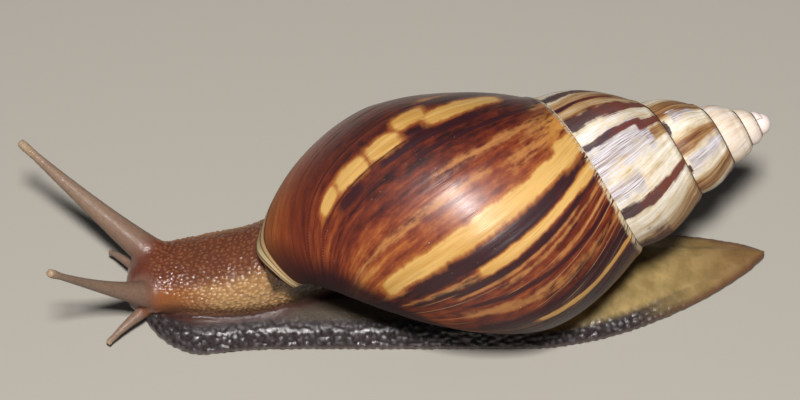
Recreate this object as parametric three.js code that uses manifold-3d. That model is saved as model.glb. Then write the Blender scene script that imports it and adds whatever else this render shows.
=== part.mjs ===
// A giant African land snail (Lissachatina fulica) crawling, as a still life-size model.
// Units are millimetres. +Z is up, the head points to -X and the snail's left side to -Y.
// The origin lies on the flat sole, under the middle of the body.
import * as THREE from 'three';
import { mergeVertices } from 'three/addons/utils/BufferGeometryUtils.js';
import Module from 'manifold-3d';

const wasm = await Module();
wasm.setup();

// ---- Driving dimensions ----------------------------------------------------------------------

const gap = 0.3;                // clearance between neighbouring pieces
const eyeGap = 0.1;             // clearance under each small eye

// Shell: a right-handed spiral about the line from the spire's tip to the base of the pillar.
const shellTip = new THREE.Vector3(52.7, 8.7, 28.5);
const shellBase = new THREE.Vector3(-15.6, -11.2, 15.0);
const sutureEndAngle = 130;     // degrees round the axis, from its upper side towards the right
const tipTurn = -5.4;           // turns before the aperture at which the spire's tip closes
const tipDomeRadius = 1.55;
const facetsPerTurn = 18;
const coreRadius = 0.15;        // thin bore that keeps the swept whorls free of the axis
const sutureDepth = 35.2;       // along the axis from the tip to the suture at the aperture
const sutureRadius = 15.8;
const bellyDepth = 60.1;        // widest place of the body whorl at the aperture
const bellyRadius = 22.4;
const baseDepth = 80;           // lower end of the outer lip's curve
const lipWall = 1.0;            // thickness of the shell at its lip
const pillarRadius = 1.2;
const lipTurn = 0.014;          // width of the pale lip, in turns
const gapTurn = 0.0026;         // the clearance as a turn at the lip's radius
const recessTurn = 0.13;        // how far the aperture is hollowed, in turns

// Flesh.
const footFront = -38.6;
const tailTip = 54.6;
const footHalfWidth = 11.0;
const frontRounding = 10;       // length of the foot's rounded front
const tailStart = 18;           // the foot narrows into the tail behind this
const tailSwing = 6.6;          // how far the tail's tip is turned to the right
const soleEdgeHeight = 0.9;     // height of the foot's widest line
const creaseHeight = 4.6;       // line where the neck meets the foot
const headFront = -40.2;
const noseRounding = 5.5;       // length of the head's rounded front
const columnRear = 17;          // the trunk ends here, inside the aperture
const trunkRounding = 12;
const headShift = -1.7;         // the head is carried a little to the left
const trunkShift = 6;           // and the trunk bends to the right, into the aperture
const headHalfWidth = 5.6;
const neckHalfWidth = 6.3;
const trunkHalfWidth = 7.2;
const columnBottom = 1.9;       // sunk into the foot, which is cut from it
const headTop = 9.3;
const neckTop = 15.1;
const trunkTop = 21.1;
const ovalPower = 0.88;         // squares the column's sections a little
const mouthLobe = { back: 2.0, aside: 2.1, height: 3.4, radii: [1.8, 2.0, 1.7] };

// Feelers: root, bend and tip of each, with the radii of root and tip.
const upperFeelers = [
  {
    side: 'left',
    root: [-34.4, -4.4, 4.9], bend: [-39.5, -7.4, 9.6], tip: [-48.4, -16.6, 25.4],
    rootRadius: 2.6, tipRadius: 0.5, taper: 1.7,
  },
  {
    side: 'right',
    root: [-34.6, 0.8, 5.8], bend: [-40.9, 3.6, 10.2], tip: [-55.2, 10.6, 21.8],
    rootRadius: 2.8, tipRadius: 0.5, taper: 1.05,
  },
];
const lowerFeelers = [
  {
    side: 'left',
    root: [-36.4, -5.2, 3.4], bend: [-39.9, -8.4, 2.9], tip: [-42.6, -10.6, 1.3],
    rootRadius: 1.2, tipRadius: 0.5, taper: 1.7,
  },
  {
    side: 'right',
    root: [-37.6, 0.6, 3.4], bend: [-41.0, 3.4, 3.6], tip: [-43.2, 6.0, 1.9],
    rootRadius: 1.1, tipRadius: 0.5, taper: 1.7,
  },
];
const eyeRadius = 0.55;

// ---- Finishes --------------------------------------------------------------------------------

function finish(colour, roughness) {
  return new THREE.MeshStandardMaterial({ color: colour, roughness: roughness, metalness: 0 });
}

const shellBrown = finish(0x7a3a1c, 0.3);
const shellCream = finish(0xd9c6a4, 0.45);
const lipCream = finish(0xcbb083, 0.4);
const neckFlesh = finish(0x8a4a2c, 0.4);
const footFlesh = finish(0x5c4a48, 0.4);
const tailFlesh = finish(0x9a8458, 0.5);
const feelerFlesh = finish(0x8d6a5c, 0.4);
const eyeDark = finish(0x1d1512, 0.15);

// ---- Small helpers ---------------------------------------------------------------------------

function smooth(from, to, x) {
  const u = Math.min(Math.max((x - from) / (to - from), 0), 1);
  return u * u * (3 - 2 * u);
}

function steps(count) {
  return Array.from({ length: count + 1 }, (_, i) => i / count);
}

// Closed triangle mesh to manifold solid, turned outward if its faces point in.
function toSolid(points, triangles) {
  const positions = points.flatMap((p) => [p.x, p.y, p.z]);
  const raw = new THREE.BufferGeometry();
  raw.setAttribute('position', new THREE.Float32BufferAttribute(positions, 3));
  raw.setIndex(triangles.flat());
  const merged = mergeVertices(raw, 1e-4);
  const place = merged.attributes.position;
  const kept = [];
  let sixVolumes = 0;
  for (let i = 0; i < merged.index.count; i += 3) {
    const [a, b, c] = [0, 1, 2].map((k) => merged.index.getX(i + k));
    if (a !== b && b !== c && c !== a) {
      kept.push([a, b, c]);
      const [pa, pb, pc] = [a, b, c].map((k) => new THREE.Vector3().fromBufferAttribute(place, k));
      sixVolumes += pa.dot(pb.cross(pc));
    }
  }
  const outward = sixVolumes > 0 ? kept : kept.map(([a, b, c]) => [a, c, b]);
  return new wasm.Manifold(new wasm.Mesh({
    numProp: 3,
    vertProperties: new Float32Array(place.array),
    triVerts: new Uint32Array(outward.flat()),
  }));
}

// A closed solid between two matching grids of points, such as the two faces of a curved wall.
function blockSolid(outer, inner) {
  const rows = outer.length;
  const columns = outer[0].length;
  const points = [...outer.flat(), ...inner.flat()];
  const out = (i, j) => i * columns + j;
  const inn = (i, j) => rows * columns + i * columns + j;
  const triangles = [];
  const quad = (a, b, c, d) => triangles.push([a, b, c], [a, c, d]);
  for (let i = 0; i + 1 < rows; i += 1) {
    for (let j = 0; j + 1 < columns; j += 1) {
      quad(out(i, j), out(i + 1, j), out(i + 1, j + 1), out(i, j + 1));
      quad(inn(i, j), inn(i, j + 1), inn(i + 1, j + 1), inn(i + 1, j));
    }
    quad(out(i, 0), inn(i, 0), inn(i + 1, 0), out(i + 1, 0));
    quad(out(i, columns - 1), out(i + 1, columns - 1), inn(i + 1, columns - 1), inn(i, columns - 1));
  }
  for (let j = 0; j + 1 < columns; j += 1) {
    quad(out(0, j), out(0, j + 1), inn(0, j + 1), inn(0, j));
    quad(out(rows - 1, j), inn(rows - 1, j), inn(rows - 1, j + 1), out(rows - 1, j + 1));
  }
  return toSolid(points, triangles);
}

// A closed solid skinned over rings of points, with a flat fan over each end.
function loftSolid(rings) {
  const around = rings[0].length;
  const points = rings.flat();
  const triangles = [];
  for (let i = 0; i + 1 < rings.length; i += 1) {
    for (let j = 0; j < around; j += 1) {
      const next = (j + 1) % around;
      const [a, b] = [i * around + j, i * around + next];
      const [c, d] = [a + around, b + around];
      triangles.push([a, b, d], [a, d, c]);
    }
  }
  const last = (rings.length - 1) * around;
  for (let j = 1; j + 1 < around; j += 1) {
    triangles.push([0, j + 1, j], [last, last + j, last + j + 1]);
  }
  return toSolid(points, triangles);
}

function geometrySolid(geometry) {
  geometry.deleteAttribute('normal');
  geometry.deleteAttribute('uv');
  const merged = mergeVertices(geometry, 1e-4);
  const place = merged.attributes.position;
  const points = Array.from(
    { length: place.count },
    (_, i) => new THREE.Vector3().fromBufferAttribute(place, i),
  );
  const triangles = [];
  for (let i = 0; i < merged.index.count; i += 3) {
    triangles.push([0, 1, 2].map((k) => merged.index.getX(i + k)));
  }
  return toSolid(points, triangles);
}

// The main body of a cut solid, without the slivers that a cut can leave.
function mainBody(solid) {
  const bodies = solid.decompose();
  return bodies.reduce((best, body) => (body.volume() > best.volume() ? body : best));
}

function toMesh(name, solid, material) {
  const { vertProperties, triVerts } = mainBody(solid).getMesh();
  const geometry = new THREE.BufferGeometry();
  geometry.setAttribute('position', new THREE.Float32BufferAttribute(vertProperties, 3));
  geometry.setIndex(Array.from(triVerts));
  geometry.computeVertexNormals();
  const mesh = new THREE.Mesh(geometry, material);
  mesh.name = name;
  return mesh;
}

// ---- Shell spiral ----------------------------------------------------------------------------
// A place on the shell has a turn t (0 at the aperture, falling towards the tip), a share s from
// the upper suture (0) to the lower suture or base (1), a radius and a depth along the axis.

const axis = shellBase.clone().sub(shellTip).normalize();
const upward = new THREE.Vector3(0, 0, 1).addScaledVector(axis, -axis.z).normalize();
const sideward = new THREE.Vector3().crossVectors(axis, upward);

const sutureDepthAt = (t) => (sutureDepth + 0.8) * 1.8 ** t - 0.8;
const sutureRadiusAt = (t) => (sutureRadius - 0.4) * 1.7 ** t + 0.4;
const baseDepthAt = (t) => baseDepth * 1.32 ** t;

function bellyDepthAt(t) {
  return t >= -1 ? bellyDepth * 1.84 ** t : (bellyDepth / 1.84 + 0.8) * 1.8 ** (t + 1) - 0.8;
}

function bellyRadiusAt(t) {
  return t >= -1 ? bellyRadius * 1.42 ** t : (bellyRadius / 1.42 - 0.4) * 1.7 ** (t + 1) + 0.4;
}

// Radius of the whorl's full curve from its suture, over its belly, down to the axis.
function openRadius(t, depth) {
  const belly = bellyRadiusAt(t);
  const bellyAt = bellyDepthAt(t);
  const suture = sutureDepthAt(t);
  if (depth <= bellyAt) {
    const rise = Math.min((bellyAt - depth) / (bellyAt - suture), 1);
    return belly - (belly - sutureRadiusAt(t)) * rise ** 1.8;
  }
  const late = smooth(-0.75, -0.25, t);
  const fall = Math.min((depth - bellyAt) / (baseDepthAt(t) - bellyAt), 1);
  return belly * (1 - fall ** 1.7) ** (1 / (1.15 + 0.87 * late));
}

// Radius of a spire whorl, which ends at the next whorl's suture.
function spireRadius(t, depth) {
  const bellyAt = bellyDepthAt(t);
  if (depth <= bellyAt) {
    return openRadius(t, depth);
  }
  const fall = (depth - bellyAt) / (sutureDepthAt(t + 1) - bellyAt);
  return bellyRadiusAt(t) - (bellyRadiusAt(t) - sutureRadiusAt(t + 1)) * fall ** 2;
}

function onShell(t, radius, depth) {
  const angle = THREE.MathUtils.degToRad(sutureEndAngle + 360 * t);
  return shellTip.clone()
    .addScaledVector(axis, depth)
    .addScaledVector(upward, radius * Math.cos(angle))
    .addScaledVector(sideward, radius * Math.sin(angle));
}

// The lip lags behind its suture end, most of all where it sweeps into the pillar.
function lipLag(s) {
  return 0.06 * (1 - (1 - s) ** 6) + 0.06 * s + 0.27 * s ** 60;
}

// The turn of a body whorl place once the lip's lag is spread over the whole whorl.
function laggedTurn(turn, s) {
  return turn - lipLag(s) * (turn + 1);
}

// Turns from one to another at the same steps everywhere, so that neighbours' facets match.
function turnsBetween(from, to) {
  const first = Math.floor(from * facetsPerTurn + 1e-6) + 1;
  const turns = [from];
  for (let i = first; i / facetsPerTurn < to - 1e-3; i += 1) {
    turns.push(i / facetsPerTurn);
  }
  return [...turns, to];
}

// Shares from suture to base, closer together where the whorl turns in to its pillar.
const bodyShares = steps(17).map((u) => Math.sin(u * Math.PI / 2));

// The body whorl down to its pillar. grow widens it, for the clearance cut from its neighbours.
function bodyWhorlSolid(turnFrom, turnTo, grow) {
  const outer = [];
  const inner = [];
  for (const turn of turnsBetween(turnFrom, turnTo)) {
    const place = bodyShares.map((s) => {
      const t = laggedTurn(turn, s);
      const start = sutureDepthAt(t) - grow;
      const depth = start + (baseDepthAt(t) + grow - start) * s;
      return { t: t, depth: depth, radius: openRadius(t, depth) };
    });
    outer.push(place.map((p) => onShell(p.t, Math.max(p.radius, coreRadius * 2) + grow, p.depth)));
    inner.push(place.map((p) => onShell(p.t, coreRadius, p.depth)));
  }
  return blockSolid(outer, inner);
}

// The last turn's inner side, seen in the aperture: the covered part of the whorl before it.
function parietalSolid(grow) {
  const outer = [];
  const inner = [];
  for (const t of turnsBetween(-1.4, -1)) {
    const start = sutureDepthAt(t + 1) - grow;
    const reach = baseDepthAt(t) - 0.5 - start;
    const depths = steps(8).map((v) => start + reach * Math.sin(v * Math.PI / 2));
    outer.push(depths.map((depth) => onShell(t, openRadius(t, depth) + grow, depth)));
    inner.push(depths.map((depth) => onShell(t, coreRadius, depth)));
  }
  return blockSolid(outer, inner);
}

// The pale rim of the aperture: a strip of the whorl's wall, from suture to pillar.
function lipSolid() {
  const outer = [];
  const inner = [];
  for (const turn of [-lipTurn, -lipTurn / 2, 0]) {
    const places = bodyShares.slice(1, -1).map((s) => {
      const t = laggedTurn(turn, s);
      const depth = sutureDepthAt(t) + (baseDepthAt(t) - sutureDepthAt(t)) * s;
      return { t: t, depth: depth, radius: openRadius(t, depth) };
    });
    outer.push(places.map((p) => onShell(p.t, p.radius, p.depth)));
    inner.push(places.map((p) => onShell(p.t, p.radius - lipWall, p.depth)));
  }
  return blockSolid(outer, inner);
}

// One turn of the spire, between two sutures.
function spireWhorlSolid(turnFrom, turnTo, rows) {
  const outer = [];
  const inner = [];
  for (const t of turnsBetween(turnFrom, turnTo)) {
    const start = sutureDepthAt(t);
    const end = sutureDepthAt(t + 1) - gap;
    const depths = steps(rows).map((v) => start + (end - start) * v);
    outer.push(depths.map((depth) => onShell(t, spireRadius(t, depth), depth)));
    inner.push(depths.map((depth) => onShell(t, coreRadius, depth)));
  }
  return blockSolid(outer, inner);
}

// A slice of the aperture, between the wall of the lip and the previous turn or the pillar.
function apertureSolid(turnFrom, turnTo, wall, shareFrom, shareTo, clearance) {
  const outer = [];
  const inner = [];
  for (const u of steps(4)) {
    const turn = turnFrom + (turnTo - turnFrom) * u;
    const outerRow = [];
    const innerRow = [];
    for (const v of steps(13)) {
      const s = shareFrom + (shareTo - shareFrom) * Math.sin(v * Math.PI / 2);
      const t = laggedTurn(turn, s);
      const depth = sutureDepthAt(t) + (baseDepthAt(t) - sutureDepthAt(t)) * s;
      const turnBefore = openRadius(t - 1, Math.min(depth, baseDepthAt(t - 1)));
      const floor = Math.max(turnBefore, pillarRadius) + clearance;
      outerRow.push(onShell(t, Math.max(openRadius(t, depth) - wall, floor + 0.6), depth));
      innerRow.push(onShell(t, floor, depth));
    }
    outer.push(outerRow);
    inner.push(innerRow);
  }
  return blockSolid(outer, inner);
}

// ---- Flesh sections --------------------------------------------------------------------------

// The foot is a loft of rings along X. Its front is rounded, and its tail swings to the right.
function footCentre(x) {
  const behind = Math.max((x - tailStart - 2) / (tailTip - tailStart - 2), 0);
  return tailSwing * behind ** 1.55 - 1.2 * (1 - smooth(-32, -18, x));
}

function footWidthAt(x) {
  if (x < footFront + frontRounding) {
    const ahead = (footFront + frontRounding - x) / frontRounding;
    return 0.4 + (footHalfWidth - 0.4) * Math.max(1 - ahead ** 1.75, 0) ** 0.58;
  }
  const behind = Math.max((x - tailStart) / (tailTip - tailStart), 0);
  return 0.3 + (footHalfWidth - 0.3) * Math.max(1 - behind ** 1.9, 0) ** 0.8;
}

function footCreaseAt(x) {
  const front = smooth(footFront - 1, footFront + 9, x);
  const tail = smooth(tailStart - 6, tailTip, x);
  return 1.9 + (creaseHeight - 1.9) * front - 3.2 * tail;
}

function footTopAt(x) {
  const rise = 1.4 * smooth(-26, -12, x) - 0.9 * smooth(0, 14, x);
  const tail = smooth(tailStart + 4, tailTip, x);
  return footCreaseAt(x) + (0.5 + rise) * (1 - tail) + 2.2 * tail * (1 - tail) + 0.3;
}

// Where a ring at x goes when its solid is grown: both ends move outward.
function grownPlace(x, grow, from, to) {
  return x - grow * (1 - smooth(from, from + 6, x)) + grow * smooth(to - 6, to, x);
}

// One ring of the foot at x: a flat sole, a skirt up to the crease, and a low rounded top.
function footRing(x, grow) {
  const width = footWidthAt(x);
  const crease = Math.min(footCreaseAt(x), width);
  const creaseWidth = width - Math.min(3.3, width * 0.45);
  const top = Math.max(footTopAt(x), crease + 0.2);
  const soleWidth = width - Math.min(0.9, width * 0.4);
  const skirt = [
    [soleWidth, 0],
    [width - Math.min(0.15, width * 0.1), soleEdgeHeight * 0.4],
    [width, soleEdgeHeight],
    [width * 0.62 + creaseWidth * 0.38, (soleEdgeHeight + crease) * 0.52],
    [creaseWidth, crease],
  ];
  const dome = [0.75, 0.5, 0.25].map((v) => [
    creaseWidth * v,
    crease + (top - crease) * Math.sqrt(1 - v * v),
  ]);
  const right = [...skirt, ...dome];
  const left = right.map(([y, z]) => [-y, z]).reverse();
  const profile = [...right, [0, top], ...left];
  const placedX = grownPlace(x, grow, footFront, tailTip);
  return profile.map(([y, z]) => {
    const away = Math.hypot(y, z) || 1;
    return new THREE.Vector3(placedX, footCentre(x) + y + grow * y / away, z + grow * z / away);
  });
}

function footSolid(grow) {
  const frontEnd = footFront + frontRounding;
  const front = steps(6).map((u) => footFront + frontRounding * (1 - Math.cos(u * Math.PI / 2)));
  const middle = steps(11).slice(1).map((u) => frontEnd + (tailStart - frontEnd) * u);
  const rear = steps(11).slice(1).map((u) => (
    tailStart + (tailTip - tailStart) * Math.sin(u * Math.PI / 2)
  ));
  return loftSolid([...front, ...middle, ...rear].map((x) => footRing(x, grow)));
}

// The head, neck and trunk are one column lying on the foot and rising into the aperture.
function columnRing(x, grow) {
  const along = smooth(-36, -26, x);
  const into = smooth(-24, 2, x);
  const nose = Math.min((x - headFront) / noseRounding, 1);
  const rear = Math.min((columnRear - x) / trunkRounding, 1);
  const round = (1 - (1 - nose) ** 2.2) ** 0.455 * Math.sqrt(1 - (1 - rear) ** 2) + 0.02;
  const neckWidth = headHalfWidth + (neckHalfWidth - headHalfWidth) * along;
  const halfWidth = (neckWidth + (trunkHalfWidth - neckHalfWidth) * into) * round;
  const neckHeight = headTop + (neckTop - headTop) * smooth(-37, -12, x);
  const top = neckHeight + (trunkTop - neckTop) * into;
  const halfHeight = (top - columnBottom) / 2 * round;
  const middle = (top + columnBottom) / 2 - (1 - round) * 1.2;
  const centre = headShift + trunkShift * into;
  const placedX = grownPlace(x, grow, headFront, columnRear);
  return steps(16).slice(1).map((u) => {
    const across = Math.cos(2 * Math.PI * u);
    const up = Math.sin(2 * Math.PI * u);
    return new THREE.Vector3(
      placedX,
      centre + (halfWidth + grow) * Math.sign(across) * Math.abs(across) ** ovalPower,
      middle + (halfHeight + grow) * Math.sign(up) * Math.abs(up) ** ovalPower,
    );
  });
}

function columnSolid(grow) {
  const noseEnd = headFront + noseRounding;
  const nose = steps(6).map((u) => headFront + noseRounding * (1 - Math.cos(u * Math.PI / 2)));
  const rest = steps(13).slice(1).map((u) => (
    noseEnd + (columnRear - noseEnd) * Math.sin(u * Math.PI / 2)
  ));
  return loftSolid([...nose, ...rest].map((x) => columnRing(x, grow)));
}

function ellipsoidSolid(centre, radii, detail) {
  const geometry = new THREE.SphereGeometry(1, detail, Math.ceil(detail * 0.6));
  geometry.scale(...radii);
  geometry.translate(...centre);
  return geometrySolid(geometry);
}

// A tapering round feeler along a smooth curve through its root, bend and tip, cut back at
// the tip to leave room for its eye.
function feelerSolid(feeler, cutBack) {
  const route = [feeler.root, feeler.bend, feeler.tip].map((p) => new THREE.Vector3(...p));
  const curve = new THREE.CatmullRomCurve3(route);
  const length = curve.getLength();
  const rings = steps(9).map((share) => {
    const u = share * (1 - cutBack / length);
    const point = curve.getPointAt(u);
    const along = curve.getTangentAt(u);
    const across = new THREE.Vector3(0, 0, 1).cross(along).normalize();
    const over = new THREE.Vector3().crossVectors(along, across);
    const swell = (1 - u) ** feeler.taper;
    const radius = feeler.tipRadius + (feeler.rootRadius - feeler.tipRadius) * swell;
    return steps(8).slice(1).map((v) => point.clone()
      .addScaledVector(across, radius * Math.cos(2 * Math.PI * v))
      .addScaledVector(over, radius * Math.sin(2 * Math.PI * v)));
  });
  return { solid: loftSolid(rings), curve: curve };
}

function slabSolid(xFrom, xTo) {
  const box = new THREE.BoxGeometry(xTo - xFrom, 120, 120);
  box.translate((xFrom + xTo) / 2, 0, 0);
  return geometrySolid(box);
}

// ---- Shell pieces ----------------------------------------------------------------------------

const snail = new THREE.Group();

// The body whorl is hollowed at its mouth, where the mantle fills it.
const bodyEnd = -lipTurn - gapTurn;
const recess = apertureSolid(-recessTurn, 0.03, lipWall, 0.05, 0.97, 0);
const bodyWhorl = bodyWhorlSolid(-1, -0.5, 0)
  .add(bodyWhorlSolid(-0.5, bodyEnd, 0))
  .add(parietalSolid(0))
  .subtract(recess);
snail.add(toMesh('shell_body_whorl', bodyWhorl, shellBrown));

snail.add(toMesh('shell_lip', lipSolid(), lipCream));

const spireWhorls = [
  { name: 'shell_penultimate_whorl', turn: -2, rows: 8 },
  { name: 'shell_third_whorl', turn: -3, rows: 6 },
  { name: 'shell_fourth_whorl', turn: -4, rows: 5 },
];
// The clearance between two whorls' meeting ends, as a turn.
const capGapAt = (t) => gap / (2 * Math.PI * bellyRadiusAt(t));
for (const whorl of spireWhorls) {
  const end = whorl.turn + 1 - capGapAt(whorl.turn + 1);
  snail.add(toMesh(whorl.name, spireWhorlSolid(whorl.turn, end, whorl.rows), shellCream));
}

// The last turns close in a blunt dome.
const tipEnd = -4 - capGapAt(-4);
const tipMiddle = -4.7;
const tipCentre = shellTip.clone().addScaledVector(axis, tipDomeRadius * 0.9);
const spireTip = spireWhorlSolid(tipTurn, tipMiddle, 3)
  .add(spireWhorlSolid(tipMiddle, tipEnd, 3))
  .add(ellipsoidSolid(tipCentre.toArray(), [tipDomeRadius, tipDomeRadius, tipDomeRadius], 12));
snail.add(toMesh('shell_tip', spireTip, shellCream));

// ---- Flesh pieces ----------------------------------------------------------------------------

const shellClear = bodyWhorlSolid(-1, -0.5, gap)
  .add(bodyWhorlSolid(-0.5, gapTurn, gap))
  .add(parietalSolid(gap));
const mantleStart = -recessTurn + gapTurn * 1.5;
const mantle = apertureSolid(mantleStart, -gapTurn, lipWall + gap, 0.07, 0.95, gap);
snail.add(toMesh('mantle', mantle, neckFlesh));

const foot = footSolid(0).subtract(shellClear);
const footLengths = [
  { name: 'foot_front', from: -60, to: -20, material: footFlesh },
  { name: 'foot_middle', from: -20, to: 14, material: footFlesh },
  { name: 'tail_base', from: 14, to: 38, material: tailFlesh },
  { name: 'tail_tip', from: 38, to: 70, material: tailFlesh },
];
for (const part of footLengths) {
  const piece = foot.intersect(slabSolid(part.from + gap / 2, part.to - gap / 2));
  snail.add(toMesh(part.name, piece, part.material));
}

// The column with the pair of lobes on either side of the mouth.
function headedColumn(grow) {
  const lobes = [-1, 1].map((side) => ellipsoidSolid(
    [headFront + mouthLobe.back, headShift + side * mouthLobe.aside, mouthLobe.height],
    mouthLobe.radii.map((radius) => radius + grow),
    10,
  ));
  return columnSolid(grow).add(lobes[0]).add(lobes[1]);
}

const footClear = footSolid(gap);
const column = headedColumn(0).subtract(footClear).subtract(shellClear);
const columnLengths = [
  { name: 'head', from: -60, to: -31 },
  { name: 'neck', from: -31, to: -19 },
  { name: 'trunk', from: -19, to: 60 },
];
for (const part of columnLengths) {
  const piece = column.intersect(slabSolid(part.from + gap / 2, part.to - gap / 2));
  snail.add(toMesh(part.name, piece, neckFlesh));
}

const headClear = headedColumn(gap).add(footClear);
for (const feeler of upperFeelers) {
  const { solid, curve } = feelerSolid(feeler, 2 * eyeRadius + eyeGap);
  snail.add(toMesh('upper_feeler_' + feeler.side, solid.subtract(headClear), feelerFlesh));
  const eyePlace = curve.getPointAt(1).addScaledVector(curve.getTangentAt(1), -eyeRadius);
  const eye = ellipsoidSolid(eyePlace.toArray(), [eyeRadius, eyeRadius, eyeRadius], 10);
  snail.add(toMesh('eye_' + feeler.side, eye, eyeDark));
}
for (const feeler of lowerFeelers) {
  const { solid } = feelerSolid(feeler, 0);
  snail.add(toMesh('lower_feeler_' + feeler.side, solid.subtract(headClear), feelerFlesh));
}

export default snail;
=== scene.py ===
import math

import bmesh
import bpy
import numpy as np
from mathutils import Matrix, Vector


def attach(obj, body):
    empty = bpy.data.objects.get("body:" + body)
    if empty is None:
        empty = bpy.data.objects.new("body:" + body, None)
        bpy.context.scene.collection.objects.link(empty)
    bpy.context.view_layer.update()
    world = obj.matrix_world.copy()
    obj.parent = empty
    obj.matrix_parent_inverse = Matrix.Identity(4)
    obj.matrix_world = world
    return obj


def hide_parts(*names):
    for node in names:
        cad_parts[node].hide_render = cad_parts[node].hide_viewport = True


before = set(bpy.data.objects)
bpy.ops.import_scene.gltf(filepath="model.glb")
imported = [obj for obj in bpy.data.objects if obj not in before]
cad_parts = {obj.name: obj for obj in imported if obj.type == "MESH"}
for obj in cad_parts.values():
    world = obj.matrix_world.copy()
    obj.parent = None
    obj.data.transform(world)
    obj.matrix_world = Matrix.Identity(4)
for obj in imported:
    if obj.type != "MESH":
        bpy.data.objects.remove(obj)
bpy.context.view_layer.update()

# ---- Shell: the last whorl and its lip -------------------------------------------------------
# The snail lays down its shell line by line at the lip, and each turn is larger than the one
# before by a fixed share. So a growth rule makes it: a spiral about the line from the spire's
# tip to the foot of the pillar. Its outer skin is glossy, red-brown, with gold and dark streaks.

MM = 0.001
SPIRAL = {
    "Suture depth": 35.2,
    "Suture radius": 15.8,
    "Belly depth": 60.1,
    "Belly radius": 22.4,
    "Base depth": 80.0,
}
# How many times larger each measure is one turn later, and where the spire's tip starts them.
DEPTH_GROWTH = 1.8
RADIUS_GROWTH = 1.7
BASE_GROWTH = 1.32
LATE_DEPTH_GROWTH = 1.84
LATE_RADIUS_GROWTH = 1.42
TIP_DEPTH = 0.8
TIP_RADIUS = 0.4
LIP_HOOK = 0.27  # turns that the lip's foot hooks back
SPIRE_TIP = Vector((52.7, 8.7, 28.5))
PILLAR_FOOT = Vector((-15.6, -11.2, 15.0))
SUTURE_END_ANGLE = 130
SPIRAL_AXIS = (PILLAR_FOOT - SPIRE_TIP).normalized()
SPIRAL_UP = (Vector((0, 0, 1)) - SPIRAL_AXIS * SPIRAL_AXIS.z).normalized()
SPIRAL_SIDE = SPIRAL_AXIS.cross(SPIRAL_UP)
LIP_WALL = 0.85
MOUTH_TURNS = 0.13


class Term:
    """A number that a node tree works out at each point, so that a rule reads as a formula."""

    def __init__(self, tree, socket):
        self.tree = tree
        self.socket = socket


def worked(operation, *numbers):
    """One Math node over plain numbers and Terms."""
    tree = next(number.tree for number in numbers if isinstance(number, Term))
    node = tree.nodes.new("ShaderNodeMath")
    node.operation = operation
    for socket, number in zip(node.inputs, numbers):
        if isinstance(number, Term):
            tree.links.new(number.socket, socket)
        else:
            socket.default_value = number
    return Term(tree, node.outputs[0])


for sign, operation in (
    ("add", "ADD"), ("sub", "SUBTRACT"), ("mul", "MULTIPLY"), ("truediv", "DIVIDE"),
    ("pow", "POWER"), ("gt", "GREATER_THAN"), ("lt", "LESS_THAN"),
):
    setattr(Term, f"__{sign}__", lambda a, b, o=operation: worked(o, a, b))
    setattr(Term, f"__r{sign}__", lambda a, b, o=operation: worked(o, b, a))


def one_of(numbers, operation, plain):
    """The same rule for a tree's Terms and for plain arrays."""
    if any(isinstance(number, Term) for number in numbers):
        return worked(operation, *numbers)
    return plain(*numbers)


def least(a, b):
    return one_of((a, b), "MINIMUM", np.minimum)


def most(a, b):
    return one_of((a, b), "MAXIMUM", np.maximum)


def clamped(a):
    return most(least(a, 1.0), 0.0)


def size_of(a):
    return one_of((a,), "ABSOLUTE", np.abs)


def smooth(low, high, x):
    """0 below low, 1 above high, and an S curve between them."""
    if isinstance(x, Term):
        node = x.tree.nodes.new("ShaderNodeMapRange")
        node.interpolation_type = "SMOOTHSTEP"
        x.tree.links.new(x.socket, node.inputs["Value"])
        node.inputs["From Min"].default_value = low
        node.inputs["From Max"].default_value = high
        return Term(x.tree, node.outputs[0])
    u = np.clip((x - low) / (high - low), 0, 1)
    return u * u * (3 - 2 * u)


def suture_depth(size, t):
    return (size["Suture depth"] + TIP_DEPTH) * DEPTH_GROWTH ** t - TIP_DEPTH


def suture_radius(size, t):
    return (size["Suture radius"] - TIP_RADIUS) * RADIUS_GROWTH ** t + TIP_RADIUS


def base_depth(size, t):
    return size["Base depth"] * BASE_GROWTH ** t


def belly_depth(size, t):
    first = size["Belly depth"] / LATE_DEPTH_GROWTH + TIP_DEPTH
    early = first * DEPTH_GROWTH ** (t + 1) - TIP_DEPTH
    return early + (size["Belly depth"] * LATE_DEPTH_GROWTH ** t - early) * (t > -1)


def belly_radius(size, t):
    first = size["Belly radius"] / LATE_RADIUS_GROWTH - TIP_RADIUS
    early = first * RADIUS_GROWTH ** (t + 1) + TIP_RADIUS
    return early + (size["Belly radius"] * LATE_RADIUS_GROWTH ** t - early) * (t > -1)


def open_radius(size, t, depth):
    """The whorl's curve from its suture over its belly and down to the axis."""
    belly = belly_radius(size, t)
    belly_at = belly_depth(size, t)
    rise = clamped((belly_at - depth) / (belly_at - suture_depth(size, t)))
    fall = clamped((depth - belly_at) / (base_depth(size, t) - belly_at))
    late = smooth(-0.75, -0.25, t)
    upper = belly - (belly - suture_radius(size, t)) * rise ** 1.8
    return upper * (1 - fall ** 1.7) ** (1 / (1.15 + 0.87 * late))


def lip_curve(s):
    """How far the lip's even curve falls behind its suture end, in turns."""
    return 0.06 * (1 - (1 - s) ** 6) + 0.06 * s


def lip_lag(s):
    """How far the lip lies behind its suture end at a share s of its length, in turns."""
    return lip_curve(s) + LIP_HOOK * s ** 60


def on_shell(t, radius, depth):
    """The three coordinates in metres of a place given about the spiral's axis."""
    angle = (t * 360 + SUTURE_END_ANGLE) * (math.pi / 180)
    up = radius * one_of((angle,), "COSINE", np.cos)
    aside = radius * one_of((angle,), "SINE", np.sin)
    return [
        (SPIRE_TIP[k] + SPIRAL_AXIS[k] * depth + SPIRAL_UP[k] * up + SPIRAL_SIDE[k] * aside) * MM
        for k in range(3)
    ]


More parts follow.
